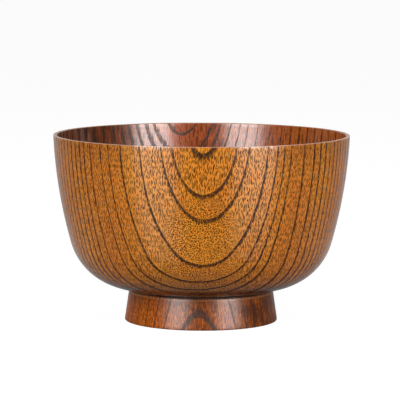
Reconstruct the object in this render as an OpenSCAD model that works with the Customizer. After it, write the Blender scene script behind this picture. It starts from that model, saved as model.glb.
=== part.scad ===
// Turned wooden soup bowl on a flared foot ring.
// The bowl is a lathe-turned shell. A spigot under its floor is glued into the bore of the foot ring.
// Millimetres, +Z up. The origin is on the bowl's axis, on the surface that the foot stands on.

/* [Bowl] */
// Outer diameter at the lip
rim_d = 115; // [105:1:125]
// Height from the table to the top of the lip
bowl_h = 72.4; // [66:0.2:78]
// Thickness of the lip, which has a flat top
lip_t = 1.5; // [1.2:0.1:2.4]
// Radius of the lip's two rounded edges
lip_edge_r = 0.3; // [0.1:0.05:0.55]
// Lean of the outer wall at the lip, in degrees
outer_flare = 2.7; // [2:0.1:4]
// Radius of the long arc of the outer wall
outer_wall_r = 186; // [170:2:220]
// Radius of the turn from the outer wall into the underside
outer_turn_r = 24; // [22:0.5:26]

/* [Hollow] */
// Lean of the inner wall at the lip, in degrees
inner_flare = 3.5; // [2:0.5:5]
// Radius of the long arc of the inner wall
inner_wall_r = 176; // [160:2:200]
// Radius of the turn from the inner wall into the floor
inner_turn_r = 25; // [22:0.5:27]
// Radius of the dish of the floor
floor_dish_r = 110; // [90:5:150]
// Thickness of the wood at the middle of the floor
floor_t = 5.2; // [4:0.2:7]

/* [Foot ring] */
// Height of the foot ring, from the table to its joint with the bowl
foot_h = 12; // [10:0.2:15]
// Outer diameter at the top of the foot ring
foot_top_d = 56.2; // [54:0.2:59]
// Spread of the foot ring on each side, from its top to its bottom
foot_flare = 1.6; // [0.6:0.1:3.6]
// Thickness of the foot ring's wall at its top
foot_wall = 3.6; // [2.6:0.1:6]
// Radius of the rounded edges that the foot stands on
foot_edge_r = 0.4; // [0.2:0.1:1.2]

/* [Glued joint] */
// Radius of the cove that brings the bowl's underside down to the joint
cove_r = 1; // [0.4:0.1:1.6]
// Depth of the spigot in the foot ring
spigot_h = 3.8; // [3:0.2:6]
// Gap for glue round the spigot
glue_gap = 0.05; // [0.02:0.01:0.1]
// Bevel on the lower edge of the spigot
spigot_bevel = 0.6; // [0.2:0.1:1]

/* [Hidden] */
$fn = 96;

bowl_colour = "#b0691f";
foot_colour = "#96501f";

// Steps along each arc of an outline
wall_steps = 20;
turn_steps = 28;
lip_steps = 6;
edge_steps = 6;
cove_steps = 8;

outer_lip_c = [rim_d / 2 - lip_edge_r, bowl_h - lip_edge_r];
inner_lip_c = [rim_d / 2 - lip_t + lip_edge_r, bowl_h - lip_edge_r];
foot_top_r = foot_top_d / 2;
foot_bottom_r = foot_top_r + foot_flare;
foot_bore_r = foot_top_r - foot_wall;
spigot_r = foot_bore_r - glue_gap;
underside_z = foot_h - spigot_h;
floor_z = underside_z + floor_t;

// Unit vector at an angle, and the angle of a vector
function unit(a) = [cos(a), sin(a)];
function angle_of(v) = atan2(v[1], v[0]);

// Points of an arc about c, from angle a to angle b
function arc(c, r, a, b, steps) = [for (i = [0:steps]) c + r * unit(a + (b - a) * i / steps)];

// The point at distance p from a and distance q from b, on the right of the way from a to b
function meet(a, p, b, q) =
    let (d = norm(b - a), along = (b - a) / d)
    let (t = (d * d + p * p - q * q) / (2 * d), off = sqrt(p * p - t * t))
    a + t * along + off * [along[1], -along[0]];

// Outer outline, from the lip to the joint: a long wall arc, a turn and a cove, each tangent to the next
foot_corner = [foot_top_r, foot_h];
cove_c = foot_corner + [cove_r, 0];
outer_wall_c = outer_lip_c - (outer_wall_r - lip_edge_r) * unit(-outer_flare);
outer_turn_c = meet(cove_c, outer_turn_r + cove_r, outer_wall_c, outer_wall_r - outer_turn_r);
outer_tangent = angle_of(outer_turn_c - outer_wall_c);
outer_end = angle_of(cove_c - outer_turn_c);
outer_outline = concat(
    arc(outer_wall_c, outer_wall_r, -outer_flare, outer_tangent, wall_steps),
    arc(outer_turn_c, outer_turn_r, outer_tangent, outer_end, turn_steps),
    arc(cove_c, cove_r, outer_end + 180, 180, cove_steps)
);

// Inner outline: wall arc, turn and dished floor, each tangent to the next, from the lip to the axis
inner_wall_c = inner_lip_c - (inner_wall_r + lip_edge_r) * unit(-inner_flare);
floor_c = [0, floor_z + floor_dish_r];
inner_turn_c = meet(inner_wall_c, inner_wall_r - inner_turn_r, floor_c, floor_dish_r - inner_turn_r);
inner_tangent = angle_of(inner_turn_c - inner_wall_c);
floor_tangent = angle_of(inner_turn_c - floor_c);
inner_outline = concat(
    arc(inner_wall_c, inner_wall_r, -inner_flare, inner_tangent, wall_steps),
    arc(inner_turn_c, inner_turn_r, inner_tangent, floor_tangent, turn_steps),
    arc(floor_c, floor_dish_r, floor_tangent, -90, wall_steps)
);

lip_outline = concat(
    arc(inner_lip_c, lip_edge_r, 180 - inner_flare, 90, lip_steps),
    arc(outer_lip_c, lip_edge_r, 90, -outer_flare, lip_steps)
);

// Spigot: a plug below the underside, bevelled so that it enters the bore
spigot_outline = [
    [spigot_r, foot_h],
    [spigot_r, underside_z + spigot_bevel],
    [spigot_r - spigot_bevel, underside_z],
    [0, underside_z]
];

// Foot ring: a flared ring with a straight bore and rounded standing edges
flare_angle = atan2(foot_flare, foot_h);
outer_edge_c = [foot_bottom_r - foot_edge_r, foot_edge_r];
inner_edge_c = [foot_bore_r + foot_edge_r, foot_edge_r];
foot_outline = concat(
    [[foot_bore_r, foot_h], foot_corner],
    arc(outer_edge_c, foot_edge_r, flare_angle, -90, edge_steps),
    arc(inner_edge_c, foot_edge_r, -90, -180, edge_steps)
);

function reversed(points) = [for (i = [len(points) - 1:-1:0]) points[i]];

module bowl_body() {
    color(bowl_colour)
    rotate_extrude()
    polygon(concat(lip_outline, outer_outline, spigot_outline, reversed(inner_outline)));
}

module foot_ring() {
    color(foot_colour)
    rotate_extrude()
    polygon(foot_outline);
}

bowl_body();
foot_ring();
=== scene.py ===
"""A turned wooden soup bowl on a flared foot ring: its looks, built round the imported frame."""
import math

import bmesh
import bpy
from mathutils import Matrix, Vector


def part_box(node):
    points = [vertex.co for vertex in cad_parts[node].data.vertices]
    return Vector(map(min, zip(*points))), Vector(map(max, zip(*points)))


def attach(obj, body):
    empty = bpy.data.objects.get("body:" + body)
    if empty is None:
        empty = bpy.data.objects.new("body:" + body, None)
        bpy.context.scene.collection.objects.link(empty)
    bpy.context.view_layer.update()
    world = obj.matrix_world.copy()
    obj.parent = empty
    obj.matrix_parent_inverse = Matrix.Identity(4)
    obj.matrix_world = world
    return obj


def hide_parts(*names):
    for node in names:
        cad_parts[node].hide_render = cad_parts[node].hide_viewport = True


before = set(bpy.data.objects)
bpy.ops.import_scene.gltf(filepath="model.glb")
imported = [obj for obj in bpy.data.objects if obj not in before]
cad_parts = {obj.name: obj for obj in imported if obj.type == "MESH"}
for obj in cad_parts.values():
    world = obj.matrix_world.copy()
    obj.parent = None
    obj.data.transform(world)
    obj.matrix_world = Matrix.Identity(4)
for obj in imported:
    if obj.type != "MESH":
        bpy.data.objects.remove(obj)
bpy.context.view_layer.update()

MM = 0.001
bowl_low, bowl_high = (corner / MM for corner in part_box("bowl_body"))
foot_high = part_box("foot_ring")[1] / MM

# Sizes of the turned pieces, in millimetres and degrees
RIM_R = bowl_high.x
BOWL_H = bowl_high.z
LIP_T = 1.5
# Rounding of the inner and the outer edge of the lip
LIP_EDGE_R = 0.3
LIP_OUTER_R = 0.12
OUTER_FLARE = 2.7
OUTER_WALL_R = 186
OUTER_TURN_R = 24
# The cove that brings the underside down to the joint
COVE_R = 1
INNER_FLARE = 3.5
INNER_WALL_R = 176
INNER_TURN_R = 25
FLOOR_DISH_R = 110
FLOOR_T = 5.2
FOOT_H = foot_high.z
FOOT_BOTTOM_R = foot_high.x
FOOT_FLARE = 1.6
FOOT_WALL = 3.6
FOOT_EDGE_R = 0.4
SPIGOT_BEVEL = 0.6
GLUE_GAP = 0.05
# Rounding of the foot ring's top edge, which leaves a hairline groove at the joint
JOINT_EDGE_R = 0.3
# Turning marks under the bowl, inside the foot ring
MARK_PITCH = 2.4
MARK_DEPTH = 0.12

FOOT_TOP_R = FOOT_BOTTOM_R - FOOT_FLARE
FOOT_BORE_R = FOOT_TOP_R - FOOT_WALL
SPIGOT_R = FOOT_BORE_R - GLUE_GAP
UNDERSIDE_Z = bowl_low.z
SEGMENTS = 288
# Where the turning starts, so that the cuts between three sectors miss the front
TURN_START = -math.pi / 6
# Edges that turn by more than this stay sharp, in degrees
SHARP_TURN = 38


def unit(degrees):
    """Unit vector at an angle, in the plane of radius and height."""
    return Vector((math.cos(math.radians(degrees)), math.sin(math.radians(degrees))))


def angle_of(vector):
    return math.degrees(math.atan2(vector.y, vector.x))


def arc(centre, radius, start, end, steps):
    """Points of an arc, from angle start to angle end."""
    return [centre + radius * unit(start + (end - start) * i / steps) for i in range(steps + 1)]


def meet(a, from_a, b, from_b):
    """The point at those distances from a and b, on the right of the way from a to b."""
    apart = (b - a).length
    along = (b - a) / apart
    t = (apart**2 + from_a**2 - from_b**2) / (2 * apart)
    off = math.sqrt(from_a**2 - t**2)
    return a + t * along + off * Vector((along.y, -along.x))


def inside_outline():
    """The hollow, from the axis out over the floor and up to the top of the lip."""
    edge = Vector((RIM_R - LIP_T + LIP_EDGE_R, BOWL_H - LIP_EDGE_R))
    wall = edge - (INNER_WALL_R + LIP_EDGE_R) * unit(-INNER_FLARE)
    dish = Vector((0, UNDERSIDE_Z + FLOOR_T + FLOOR_DISH_R))
    turn = meet(wall, INNER_WALL_R - INNER_TURN_R, dish, FLOOR_DISH_R - INNER_TURN_R)
    wall_end = angle_of(turn - wall)
    floor_end = angle_of(turn - dish)
    floor = arc(dish, FLOOR_DISH_R, -90, floor_end, 30)
    corner = arc(turn, INNER_TURN_R, floor_end, wall_end, 28)
    side = arc(wall, INNER_WALL_R, wall_end, -INNER_FLARE, 30)
    rounding = arc(edge, LIP_EDGE_R, 180 - INNER_FLARE, 90, 5)
    return floor[:-1] + corner[:-1] + side[:-1] + rounding + [Vector((RIM_R - LIP_T / 2, BOWL_H))]


def outside_outline():
    """The wall seen from outside, from the top of the lip down to the joint with the foot."""
    edge = Vector((RIM_R - LIP_OUTER_R, BOWL_H - LIP_OUTER_R))
    wall = edge - (OUTER_WALL_R - LIP_OUTER_R) * unit(-OUTER_FLARE)
    cove = Vector((FOOT_TOP_R + COVE_R, FOOT_H))
    turn = meet(cove, OUTER_TURN_R + COVE_R, wall, OUTER_WALL_R - OUTER_TURN_R)
    wall_end = angle_of(turn - wall)
    turn_end = angle_of(cove - turn)
    rounding = arc(edge, LIP_OUTER_R, 90, -OUTER_FLARE, 5)
    side = arc(wall, OUTER_WALL_R, -OUTER_FLARE, wall_end, 30)
    corner = arc(turn, OUTER_TURN_R, wall_end, turn_end, 36)
    neck = arc(cove, COVE_R, turn_end + 180, 180, 8)
    return [Vector((RIM_R - LIP_T / 2, BOWL_H))] + rounding[:-1] + side[:-1] + corner[:-1] + neck


def underside_outline():
    """The seat on the foot ring, the spigot, and the turned face inside the foot, out to the axis."""
    seat = [Vector((FOOT_TOP_R, FOOT_H)), Vector((SPIGOT_R, FOOT_H))]
    spigot = [
        Vector((SPIGOT_R, UNDERSIDE_Z + SPIGOT_BEVEL)),
        Vector((SPIGOT_R - SPIGOT_BEVEL, UNDERSIDE_Z)),
    ]
    steps = 120
    start = SPIGOT_R - SPIGOT_BEVEL
    face = []
    for i in range(1, steps + 1):
        radius = start * (1 - i / steps)
        mark = MARK_DEPTH * (0.5 - 0.5 * math.cos(math.tau * (start - radius) / MARK_PITCH))
        face.append(Vector((radius, UNDERSIDE_Z + mark)))
    return seat + spigot + face


def foot_outline():
    """Once round the foot ring's section, from the outside of its top."""
    flare = math.degrees(math.atan2(FOOT_FLARE, FOOT_H))
    top = Vector((FOOT_TOP_R - JOINT_EDGE_R, FOOT_H - JOINT_EDGE_R))
    outer = Vector((FOOT_BOTTOM_R - FOOT_EDGE_R, FOOT_EDGE_R))
    inner = Vector((FOOT_BORE_R + FOOT_EDGE_R, FOOT_EDGE_R))
    shoulder = arc(top, JOINT_EDGE_R, 90, flare, 4)
    toe = arc(outer, FOOT_EDGE_R, flare, -90, 10)
    side = [shoulder[-1].lerp(toe[0], i / 8) for i in range(1, 8)]
    heel = arc(inner, FOOT_EDGE_R, -90, -180, 10)
    rim = Vector((FOOT_BORE_R, FOOT_H))
    bore = [heel[-1].lerp(rim, i / 8) for i in range(1, 9)]
    return shoulder + side + toe + heel + bore + shoulder[:1]


class Lathe:
    """Turns outlines about the Z axis into one closed mesh, with a map for each outline."""

    def __init__(self, name):
        self.mesh = bmesh.new()
        self.map = self.mesh.loops.layers.uv.new("OFBake")
        self.hollow = self.mesh.verts.layers.float.new("hollow")
        self.rings = {}
        self.name = name

    def ring(self, point):
        """The points of one turn of an outline's point, made once. On the axis it is a single point."""
        key = (round(point.x, 5), round(point.y, 5))
        if key not in self.rings:
            count = 1 if point.x < 1e-6 else SEGMENTS
            self.rings[key] = []
            for i in range(count):
                angle = math.tau * i / SEGMENTS + TURN_START
                across = (point.x * MM * math.cos(angle), point.x * MM * math.sin(angle))
                self.rings[key].append(self.mesh.verts.new((*across, point.y * MM)))
        return self.rings[key]

    def turn(self, outline, sectors, corner, size, hollow=0.0):
        """Adds an outline, hollow or not. Its map is cut into sectors, stacked from corner within size."""
        for point in outline:
            for vertex in self.ring(point):
                vertex[self.hollow] = max(vertex[self.hollow], hollow)
        lengths = [0.0]
        for a, b in zip(outline, outline[1:]):
            lengths.append(lengths[-1] + (b - a).length)
        height = size[1] / sectors
        margin = 0.004
        for j in range(len(outline) - 1):
            low, high = self.ring(outline[j]), self.ring(outline[j + 1])
            across = [margin + (height - 2 * margin) * lengths[k] / lengths[-1] for k in (j, j + 1)]
            for i in range(SEGMENTS):
                sector, place = divmod(i * sectors, SEGMENTS)
                left = corner[0] + margin + (size[0] - 2 * margin) * place / SEGMENTS
                right = left + (size[0] - 2 * margin) * sectors / SEGMENTS
                base = corner[1] + sector * height
                spots = [
                    (low[i % len(low)], left, base + across[0]),
                    (low[(i + 1) % len(low)], right, base + across[0]),
                    (high[(i + 1) % len(high)], right, base + across[1]),
                    (high[i % len(high)], left, base + across[1]),
                ]
                if len(low) == 1:
                    spots = [(spots[0][0], (left + right) / 2, spots[0][2])] + spots[2:]
                if len(high) == 1:
                    spots = spots[:2] + [(spots[2][0], (left + right) / 2, spots[2][2])]
                face = self.mesh.faces.new([spot[0] for spot in spots])
                face.smooth = True
                for loop, spot in zip(face.loops, spots):
                    loop[self.map].uv = spot[1:]

    def piece(self, material, node):
        """Finishes the object, which stands for a CAD node."""
        bmesh.ops.recalc_face_normals(self.mesh, faces=self.mesh.faces)
        data = bpy.data.meshes.new(self.name)
        self.mesh.to_mesh(data)
        self.mesh.free()
        data.set_sharp_from_angle(angle=math.radians(SHARP_TURN))
        data.materials.append(material)
        made = bpy.data.objects.new(self.name, data)
        bpy.context.scene.collection.objects.link(made)
        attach(made, "root")
        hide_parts(node)


class Value:
    """A socket of a material. Arithmetic on it adds Math nodes."""

    def __init__(self, finish, socket):
        self.finish = finish
        self.socket = socket

    def math(self, operation, *others):
        sockets = dict(enumerate((self, *others)))
        return self.finish.node("ShaderNodeMath", {"operation": operation}, sockets)

    def __add__(self, other):
        return self.math("ADD", other)

    def __sub__(self, other):
        return self.math("SUBTRACT", other)

    def __mul__(self, other):
        return self.math("MULTIPLY", other)

    def __truediv__(self, other):
        return self.math("DIVIDE", other)

    def __rsub__(self, other):
        return self.finish.node("ShaderNodeMath", {"operation": "SUBTRACT"}, {0: other, 1: self})

    def __gt__(self, other):
        return self.math("GREATER_THAN", other)

    __radd__ = __add__
    __rmul__ = __mul__

    def smooth(self, start, end):
        """0 before start and 1 after end, with an S-shaped rise between them."""
        sockets = {"Value": self, "From Min": start, "From Max": end}
        return self.finish.node("ShaderNodeMapRange", {"interpolation_type": "SMOOTHSTEP"}, sockets)

    def ramp(self, start, end):
        """0 before start and 1 after end, with a straight rise between them."""
        sockets = {"Value": self, "From Min": start, "From Max": end}
        return self.finish.node("ShaderNodeMapRange", {}, sockets)


class Nodes:
    """The nodes of a material or of the world."""

    def __init__(self, tree):
        self.tree = tree
        self.tree.nodes.clear()

    def node(self, kind, settings, sockets, output=0):
        """Any node: its settings are set first, then the values or links of its sockets."""
        made = self.tree.nodes.new(kind)
        for name, value in settings.items():
            setattr(made, name, value)
        for name, value in sockets.items():
            if isinstance(value, Value):
                self.tree.links.new(value.socket, made.inputs[name])
            else:
                made.inputs[name].default_value = value
        return Value(self, made.outputs[output])

    def cover(self, shader, output="ShaderNodeOutputMaterial"):
        made = self.tree.nodes.new(output)
        self.tree.links.new(shader.socket, made.inputs["Surface"])


class Finish(Nodes):
    """A material, built up in nodes, with the place on the piece and its coordinates in millimetres."""

    def __init__(self, name):
        self.material = bpy.data.materials.new(name)
        self.material.use_nodes = True
        super().__init__(self.material.node_tree)
        metres = self.node("ShaderNodeTexCoord", {}, {}, "Object")
        scaling = {0: metres, "Scale": 1 / MM}
        self.place = self.node("ShaderNodeVectorMath", {"operation": "SCALE"}, scaling)
        self.x, self.y, self.z = (
            self.node("ShaderNodeSeparateXYZ", {}, {0: self.place}, axis) for axis in "XYZ"
        )

    def mix(self, factor, a, b):
        return self.node("ShaderNodeMix", {"data_type": "RGBA"}, {0: factor, 6: a, 7: b}, 2)


def colour(red, green, blue):
    return (red, green, blue, 1.0)


# Growth rings, counted from the front of the bowl into the wood: the depth at which each starts, and
# how deep its dark band of large pores is, in millimetres
FRONT_RINGS = [
    (-9.0, 0.3),
    (-4.2, 0.3),
    (0.12, 0.22),
    (1.7, 0.3),
    (3.3, 0.38),
    (7.65, 0.44),
    (11.75, 0.46),
    (15.7, 0.56),
    (19.9, 0.62),
    (26.35, 0.85),
    (30.85, 0.9),
    (34.3, 0.95),
    (37.85, 1.0),
]
MIDDLE_RING_W = 3.55
MIDDLE_RINGS = [(FRONT_RINGS[-1][0] + MIDDLE_RING_W * i, 0.95) for i in range(1, 18)]
BACK_RINGS = [
    (102.0, 0.5),
    (105.2, 0.45),
    (107.4, 0.4),
    (108.9, 0.4),
    (110.4, 0.38),
    (111.73, 0.34),
    (112.65, 0.26),
    (113.72, 0.14),
    (114.9, 0.08),
]
BOWL_RINGS = FRONT_RINGS + MIDDLE_RINGS + BACK_RINGS
# The foot is turned from another block: the depth of the ring that arches in front, and how far from it
# the rings start
FOOT_ARCH = 28.47
FOOT_STEPS = [-3.6, 0.0, 3.65, 6.9, 10.65, 15.5, 20.0, 24.0, 30.0, 36.0, 42.0, 48.0, 54.0, 60.0]
FOOT_RINGS = [(FOOT_ARCH + step, 0.5) for step in FOOT_STEPS]

# Colours in the wood, and colours painted as shade and as highlights
# Painted shade inside the bowl: a darker, redder copy of the wood, mixed in less towards the right
INSIDE_SHADE_RED = colour(0.42, 0.075, 0.014)
INSIDE_STREAK = colour(0.05, 0.012, 0.006)
# Painted shade, on the bowl's inside and on the foot
PAINTED_SHADE_BROWN = colour(0.1, 0.031, 0.012)
SMALL_PORE = colour(0.07, 0.008, 0.0)
LARGE_PORE = colour(0.038, 0.013, 0.005)
# Painted shade on the wall below the lip
WALL_SHADE_BROWN = colour(0.1, 0.03, 0.004)
# Painted shade in the neck above the foot
NECK_SHADE_BROWN = colour(0.036, 0.018, 0.011)
STAINED_JOINT = colour(0.02, 0.008, 0.004)
# Painted highlight along the top of the lip
LIP_HIGHLIGHT_PINK = colour(0.85, 0.4, 0.2)
# Painted highlight along the foot's top edge
FOOT_EDGE_HIGHLIGHT = colour(0.6, 0.25, 0.1)


def ring_at(depth, rings):
    """Depth past the start of the ring there, the ring's width, its dark band and its number."""
    starts = [start for start, band in rings]
    widths = [b - a for a, b in zip(starts, starts[1:])] + [MIDDLE_RING_W]
    bands = [band for start, band in rings]
    start, width, band, number = starts[0], widths[0], bands[0], 0.0
    for i in range(1, len(rings)):
        past = depth > starts[i]
        start = past * (starts[i] - starts[i - 1]) + start
        width = past * (widths[i] - widths[i - 1]) + width
        band = past * (bands[i] - bands[i - 1]) + band
        number = past + number
    return depth - start, width, band, number


class Wood(Finish):
    """Ring-porous wood, cut across its growth rings by the turning."""

    def __init__(self, name, rings):
        super().__init__(name)
        # 1 inside the bowl and 0 elsewhere
        self.hollow = self.node("ShaderNodeAttribute", {"attribute_name": "hollow"}, {}, "Fac")
        self.right_inside = self.x.smooth(2, 14) * self.hollow
        # 0 in the middle of the front and of the back, 1 on the sides
        self.aside = (self.x * self.x).smooth(200, 900)
        self.depth = self.depth_in_wood()
        self.past_start, self.width, self.band, self.number = ring_at(self.depth, rings)
        self.vessels = self.noise(0.42, 5.0)
        self.streak = self.noise(0.9, 40.0, 2.0)

    def noise(self, width, length, detail=1.0):
        """Noise from 0 to 1, whose grains have that width across the fibres and length along them."""
        scaling = {0: self.place, 1: (1 / width, 1 / width, 1 / length)}
        stretched = self.node("ShaderNodeVectorMath", {"operation": "MULTIPLY"}, scaling)
        return self.node("ShaderNodeTexNoise", {}, {"Vector": stretched, "Scale": 1.0, "Detail": detail})

    def pores(self, across, along):
        """Distance to the nearest of many points, about one apart in both coordinates."""
        place = self.node("ShaderNodeCombineXYZ", {}, {"X": across, "Y": along})
        sockets = {"Vector": place, "Scale": 1.0, "Randomness": 0.7}
        return self.node("ShaderNodeTexVoronoi", {"voronoi_dimensions": "2D"}, sockets, "Distance")

    def depth_in_wood(self):
        """How deep a place lies along the growth of the tree. The rings' arcs sway from side to side."""
        x, from_front = self.x, self.y + RIM_R
        # In front the rings are arcs that open with the depth, and at the back they slant
        rough_depth = from_front + x * x * (1 / 220)
        sway = rough_depth.smooth(-18, 37) * 25.4 - rough_depth.smooth(3, 18.2) * 22.8 - 3.7
        bend = rough_depth.ramp(0.8, 18.8) * (1 / 83 - 1 / 144) + 1 / 144
        off_centre = x - sway
        arched = off_centre * off_centre * bend * 0.5
        back = rough_depth.smooth(50, 105)
        slanted = x * -0.14
        wander = (self.noise(30, 90) - 0.5) * 0.3 + (self.noise(5, 16) - 0.5) * 0.12
        return from_front + arched * (1 - back) + slanted * back + wander

    def large_pores(self, ragged):
        """The large pores at the start of each ring, in a dark band with a ragged edge and pale gaps."""
        # The band is wider low on the wall, right of the arches, and inside on the left
        low = (1 - self.z.smooth(FOOT_H + 3, FOOT_H + 22)) * (self.z > FOOT_H)
        right = self.x.smooth(9, 22) * self.depth.smooth(4, 7) * (1 - self.depth.smooth(18, 26))
        left_inside = (1 - self.x.smooth(-18, -8)) * self.hollow
        inside = left_inside * 0.7 - self.right_inside * 0.4
        wider = low * (0.9 - self.aside * 0.5) + right * 0.9 + inside + 1
        edge = self.band * ((self.vessels - 0.5) * (ragged - low * 0.8) + 0.85) * wider
        band = 1 - (self.past_start - edge).smooth(-0.06, 0.06)
        gaps = self.noise(0.6, 2.0)
        return band * (gaps.smooth(0.25, 0.55) * 0.5 + 0.5)

    def small_pores(self, dashes, radius):
        """The small pores after the band: dots in front, upright slits on the sides and near the lip."""
        x, z = self.x, self.z
        uneven = self.noise(2.0, 4.0) * 0.2
        # Zigzag rows that follow the ring
        drift = self.noise(2.6, 7.0) * 3.0
        fold = ((x + drift) / 4).math("PINGPONG", 0.5)
        row = (self.depth + 9).math("LOGARITHM", math.e) * 56 + fold * 3.5 - z * dashes
        dots = 1 - (self.pores(x / 0.62 + row * 0.4, row) + uneven).smooth(0.39, 0.53)
        # The same pores, cut along their length
        around = x.math("ARCTAN2", self.y) * radius
        upright = self.pores(around / 0.52, z * 0.5 + self.vessels * 2)
        slits = 1 - (upright + uneven + self.aside * 0.05).smooth(0.35, 0.55)
        along = (x * x + z.smooth(42, 62) * 320).smooth(90, 260)
        ring_end = (self.past_start / self.width).smooth(0.85, 1.0)
        far_side = (x * x).smooth(1700, 3000)
        shown = (1 - ring_end * 0.3) * (1 - far_side * 0.5) * (1 - self.hollow * 0.5)
        return (dots * (1 - along) + slits * along * 0.95) * shown

    def tone(self):
        """From 0 to 1: slow changes across the wood, from ring to ring and from streak to streak."""
        slow = self.noise(14.0, 60.0)
        ring = self.node("ShaderNodeTexWhiteNoise", {"noise_dimensions": "1D"}, {"W": self.number})
        uneven = (slow - 0.5) * 0.8 + (ring - 0.5) * 0.3 + (self.streak - 0.5) * 0.7
        return (uneven + self.depth.smooth(4, 28) * 0.4 + 0.1).ramp(0.0, 1.0)


def lacquered_wood(
    name, rings, radius, ragged, dashes, pored, gold, amber, painted_shade, marks, rough, gloss, coat
):
    """The wood of one piece with its dark joint line, its painted shade and its painted highlights, under
    a thin clear lacquer.
    """
    wood = Wood(name, rings)
    x, z, hollow, streak = wood.x, wood.z, wood.hollow, wood.streak
    large = wood.large_pores(ragged)
    small = wood.small_pores(dashes, radius)

    # From gold to amber, with painted shade: a darker red inside, less of it towards the right, and darker
    # wood where the piece's painted shade falls; then dark streaks inside and dark pores
    tint = wood.mix(wood.tone(), colour(*gold), colour(*amber))
    tint = wood.mix(hollow * (0.88 - x.smooth(15, 45) * 0.2), tint, INSIDE_SHADE_RED)
    tint = wood.mix(painted_shade(wood) * (streak * 2.4 - 0.3), tint, PAINTED_SHADE_BROWN)
    inside_streak = wood.noise(0.5, 7.0).smooth(0.47, 0.66) * hollow
    tint = wood.mix(inside_streak * 0.7, tint, INSIDE_STREAK)
    tint = wood.mix(small * pored, tint, SMALL_PORE)
    tint = wood.mix(large * 0.95, tint, LARGE_PORE)

    # Painted shade on the wall below the lip, towards the sides
    below_lip = z.smooth(60, BOWL_H) * (1 - hollow)
    tint = wood.mix(below_lip * wood.aside * 0.24, tint, WALL_SHADE_BROWN)
    # A painted highlight along the top of the lip, where the lacquer is also thinner
    lip_top = z.smooth(BOWL_H - 0.3, BOWL_H - 0.05)
    tint = wood.mix(lip_top * 0.5, tint, LIP_HIGHLIGHT_PINK)
    # Painted shade in the neck above the foot, where the underside turns in to the joint
    neck = (1 - z.smooth(FOOT_H + 2.9, FOOT_H + 5.6)) * (z > FOOT_H) * (1 - hollow)
    tint = wood.mix(neck * 0.96, tint, NECK_SHADE_BROWN)

    # The dark line of the joint, and a painted highlight along the foot's top edge
    joint = 1 - (z - FOOT_H).math("ABSOLUTE").smooth(0.1, 0.45)
    tint = wood.mix(joint * 0.15, tint, STAINED_JOINT)
    foot_edge = z.smooth(FOOT_H - 1.2, FOOT_H - 0.8) * (1 - z.smooth(FOOT_H - 0.45, FOOT_H - 0.25))
    tint = wood.mix(foot_edge * (streak * 0.5 + 0.15), tint, FOOT_EDGE_HIGHLIGHT)

    # The large pores are sunk, and marks gives the faint grooves of the turning
    relief = 1 - large * 0.5 - wood.noise(50, 0.4) * marks
    bump = wood.node("ShaderNodeBump", {}, {"Strength": 0.35, "Distance": 0.00006, "Height": relief})

    # The lacquer is thinner inside and on the lip, and doesn't fill the pores
    film = coat - hollow * 0.55 - wood.right_inside * 0.06 - lip_top * 0.45
    filled = 1 - small * (0.9 - hollow * 0.5) - large
    shader = wood.node(
        "ShaderNodeBsdfPrincipled",
        {},
        {
            "Base Color": tint,
            "Roughness": hollow * 0.06 + rough + large * 0.1,
            "Specular IOR Level": gloss,
            "Coat Weight": film.math("MAXIMUM", 0.0) * filled.math("MAXIMUM", 0.0),
            "Coat Roughness": 0.2,
            "Normal": bump,
        },
    )
    wood.cover(shader)
    return wood.material


def bowl_painted_shade(wood):
    """Painted shade inside the bowl, towards the left."""
    return wood.hollow * (1 - wood.x.smooth(-46, -6)) * 0.84


def foot_painted_shade(wood):
    """Painted shade on the foot: at its left end, from its middle to the right, and towards its top under
    the bowl, with less of it near the top in the middle and on the right, which paints a highlight there.
    """
    x, z = wood.x, wood.z
    ends = (1 - x.smooth(-25, -17)) * 0.3 + x.smooth(-18, -5) * 0.56 + x.smooth(12, 26) * 0.36
    # Less painted shade near the top, in the middle and on the right: a painted highlight
    painted_highlight = x.smooth(-14, 2) * 0.25 + (x.smooth(8, 16) - x.smooth(22, 27)) * 0.3
    return ends + z.smooth(3, 12) * 0.4 - z.smooth(7, 11.5) * painted_highlight


def build_bowl():
    material = lacquered_wood(
        "bowl_wood",
        BOWL_RINGS,
        radius=RIM_R,
        ragged=1.3,
        dashes=0.5,
        pored=0.95,
        gold=(0.95, 0.347, 0.022),
        amber=(0.74, 0.19, 0.029),
        painted_shade=bowl_painted_shade,
        marks=0.0,
        rough=0.2,
        gloss=0.2,
        coat=1.0,
    )
    lathe = Lathe("turned_bowl")
    lathe.turn(inside_outline(), sectors=3, corner=(0.5, 0.0), size=(0.5, 1.0), hollow=1.0)
    lathe.turn(outside_outline(), sectors=3, corner=(0.0, 0.0), size=(0.5, 0.88))
    lathe.turn(underside_outline(), sectors=1, corner=(0.0, 0.88), size=(0.5, 0.12))
    lathe.piece(material, "bowl_body")


def build_foot():
    material = lacquered_wood(
        "foot_wood",
        FOOT_RINGS,
        radius=FOOT_BOTTOM_R,
        ragged=0.5,
        dashes=0.6,
        pored=0.82,
        gold=(0.84, 0.215, 0.011),
        amber=(0.6, 0.12, 0.011),
        painted_shade=foot_painted_shade,
        marks=0.6,
        rough=0.3,
        gloss=0.185,
        coat=0.0,
    )
    lathe = Lathe("turned_foot_ring")
    lathe.turn(foot_outline(), sectors=2, corner=(0.0, 0.0), size=(1.0, 1.0))
    lathe.piece(material, "foot_ring")


# Where the photograph was taken from
CAMERA_PLACE = Vector((-0.53, -984.6, 154.5)) * MM
CAMERA_DIP = 0.1090
CAMERA_ROLL = 0.0039
LENS = 229.1


def place_camera():
    lens = bpy.data.cameras.new("photo_camera")
    lens.lens = LENS
    lens.sensor_width = 36
    lens.clip_end = 100
    camera = bpy.data.objects.new("photo_camera", lens)
    camera.matrix_world = (
        Matrix.Translation(CAMERA_PLACE)
        @ Matrix.Rotation(math.pi / 2 - CAMERA_DIP, 4, "X")
        @ Matrix.Rotation(CAMERA_ROLL, 4, "Z")
    )
    bpy.context.scene.collection.objects.link(camera)
    bpy.context.scene.camera = camera


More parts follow.
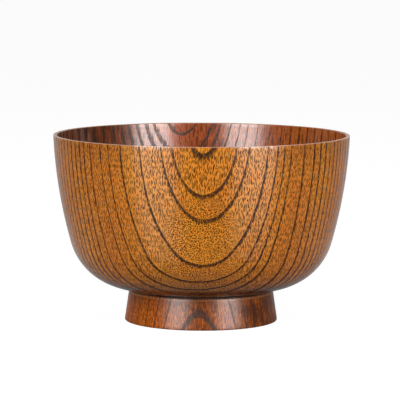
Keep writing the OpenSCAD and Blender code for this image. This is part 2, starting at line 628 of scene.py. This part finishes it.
LIGHT_PATH = "ShaderNodeLightPath"
# Name, azimuth in degrees, height, distance and size in metres, and power in watts
SOFTBOXES = [
    ("left_softbox", -36, 0.33, 1.0, (0.56, 0.6), 23),
    ("right_softbox", 42, 0.28, 1.0, (0.58, 0.5), 22),
]
LAMPS = [
    ("left_lamp", -48, 0.33, 1.0, (0.5, 0.5), 6.4),
    ("right_lamp", 48, 0.33, 1.0, (0.5, 0.5), 6.4),
    ("top_lamp", 0, 1.1, 0.3, (0.6, 0.4), 1.6),
]
# The point of the bowl that the lamps face
LAMP_AIM = Vector((0, 0, 0.04))


def area_lamp(name, azimuth, height, distance, size, power):
    """A rectangular lamp that faces the bowl. Azimuth 0 is the camera's side, and turns to its right."""
    lamp = bpy.data.lights.new(name, "AREA")
    lamp.shape = "RECTANGLE"
    lamp.size, lamp.size_y = size
    lamp.energy = power
    made = bpy.data.objects.new(name, lamp)
    turn = math.radians(azimuth)
    made.location = (distance * math.sin(turn), -distance * math.cos(turn), height)
    made.rotation_euler = (LAMP_AIM - made.location).to_track_quat("-Z", "Y").to_euler()
    bpy.context.scene.collection.objects.link(made)
    return made


def light_studio():
    """Softboxes that only shine in the lacquer, lamps that only light the wood, and a white backdrop."""
    for box in SOFTBOXES:
        area_lamp(*box).visible_diffuse = False
    for lamp in LAMPS:
        area_lamp(*lamp).visible_glossy = False
    world = bpy.data.worlds.new("studio")
    world.use_nodes = True
    room = Nodes(world.node_tree)
    camera = room.node(LIGHT_PATH, {}, {}, "Is Camera Ray")
    seen = camera + room.node(LIGHT_PATH, {}, {}, "Is Transmission Ray")
    glossy = room.node(LIGHT_PATH, {}, {}, "Is Glossy Ray")
    direction = room.node("ShaderNodeTexCoord", {}, {}, "Generated")
    backward = room.node("ShaderNodeSeparateXYZ", {}, {0: direction}, "Y")
    backdrop = backward.smooth(0.0, 0.6) * 0.3 + backward.smooth(0.8, 0.95) * glossy * 0.7
    strength = (backdrop + 0.05 + seen).math("MINIMUM", 1.0)
    background = room.node("ShaderNodeBackground", {}, {"Strength": strength})
    room.cover(background, "ShaderNodeOutputWorld")
    bpy.context.scene.world = world


def floor_finish():
    """White paper where the camera sees it, which still takes the bowl's shadow, and clear from below."""
    finish = Finish("floor_sheet")
    mirrored = finish.node(LIGHT_PATH, {}, {}, "Is Glossy Ray")

    # In the lacquer the paper is dim, and glows paler beside and behind the bowl and round its foot,
    # standing in for a lit table in the bowl's reflections
    away = (finish.x * finish.x + finish.y * finish.y).math("SQRT")
    behind = finish.y / away
    under = 1 - away.smooth(40, 120)
    near = 1 - away.smooth(60, 260)
    aside = behind.smooth(-1.0, 0.3) * (near * 0.12 + 0.12) * (1 - under * 0.6)
    back = behind.smooth(0.4, 1.1) * (near * 0.15 + 0.22)
    before = under * (1 - behind.smooth(-0.95, -0.6)) * 0.1
    pale = mirrored * (aside + back + before + near * 0.04 + under * 0.05 + 0.012)
    seen = (finish.node(LIGHT_PATH, {}, {}, "Is Camera Ray") + pale).math("MINIMUM", 1.0)

    paper = finish.node("ShaderNodeBsdfDiffuse", {}, {"Color": colour(0.2, 0.2, 0.2)})
    glow = finish.node("ShaderNodeEmission", {}, {"Color": colour(1, 1, 1), "Strength": 0.94})
    white = finish.node("ShaderNodeAddShader", {}, {0: paper, 1: glow})
    grey = finish.mix(mirrored, colour(0.14, 0.14, 0.14), colour(0.03, 0.03, 0.03))
    matt = finish.node("ShaderNodeBsdfDiffuse", {}, {"Color": grey})
    gloss = finish.node("ShaderNodeBsdfGlossy", {}, {"Roughness": 0.34})
    sheet = finish.node("ShaderNodeMixShader", {}, {0: mirrored * 0.14, 1: matt, 2: gloss})
    lit = finish.node("ShaderNodeMixShader", {}, {0: seen, 1: sheet, 2: white})
    below = finish.node("ShaderNodeNewGeometry", {}, {}, "Backfacing")
    clear = finish.node("ShaderNodeBsdfTransparent", {}, {})
    finish.cover(finish.node("ShaderNodeMixShader", {}, {0: below, 1: lit, 2: clear}))
    return finish.material


def lay_floor():
    mesh = bmesh.new()
    bmesh.ops.create_grid(mesh, x_segments=1, y_segments=1, size=12)
    data = bpy.data.meshes.new("floor")
    mesh.to_mesh(data)
    mesh.free()
    data.materials.append(floor_finish())
    floor = bpy.data.objects.new("floor", data)
    bpy.context.scene.collection.objects.link(floor)


bpy.context.scene.view_settings.view_transform = "Standard"
place_camera()
light_studio()
lay_floor()
build_bowl()
build_foot()
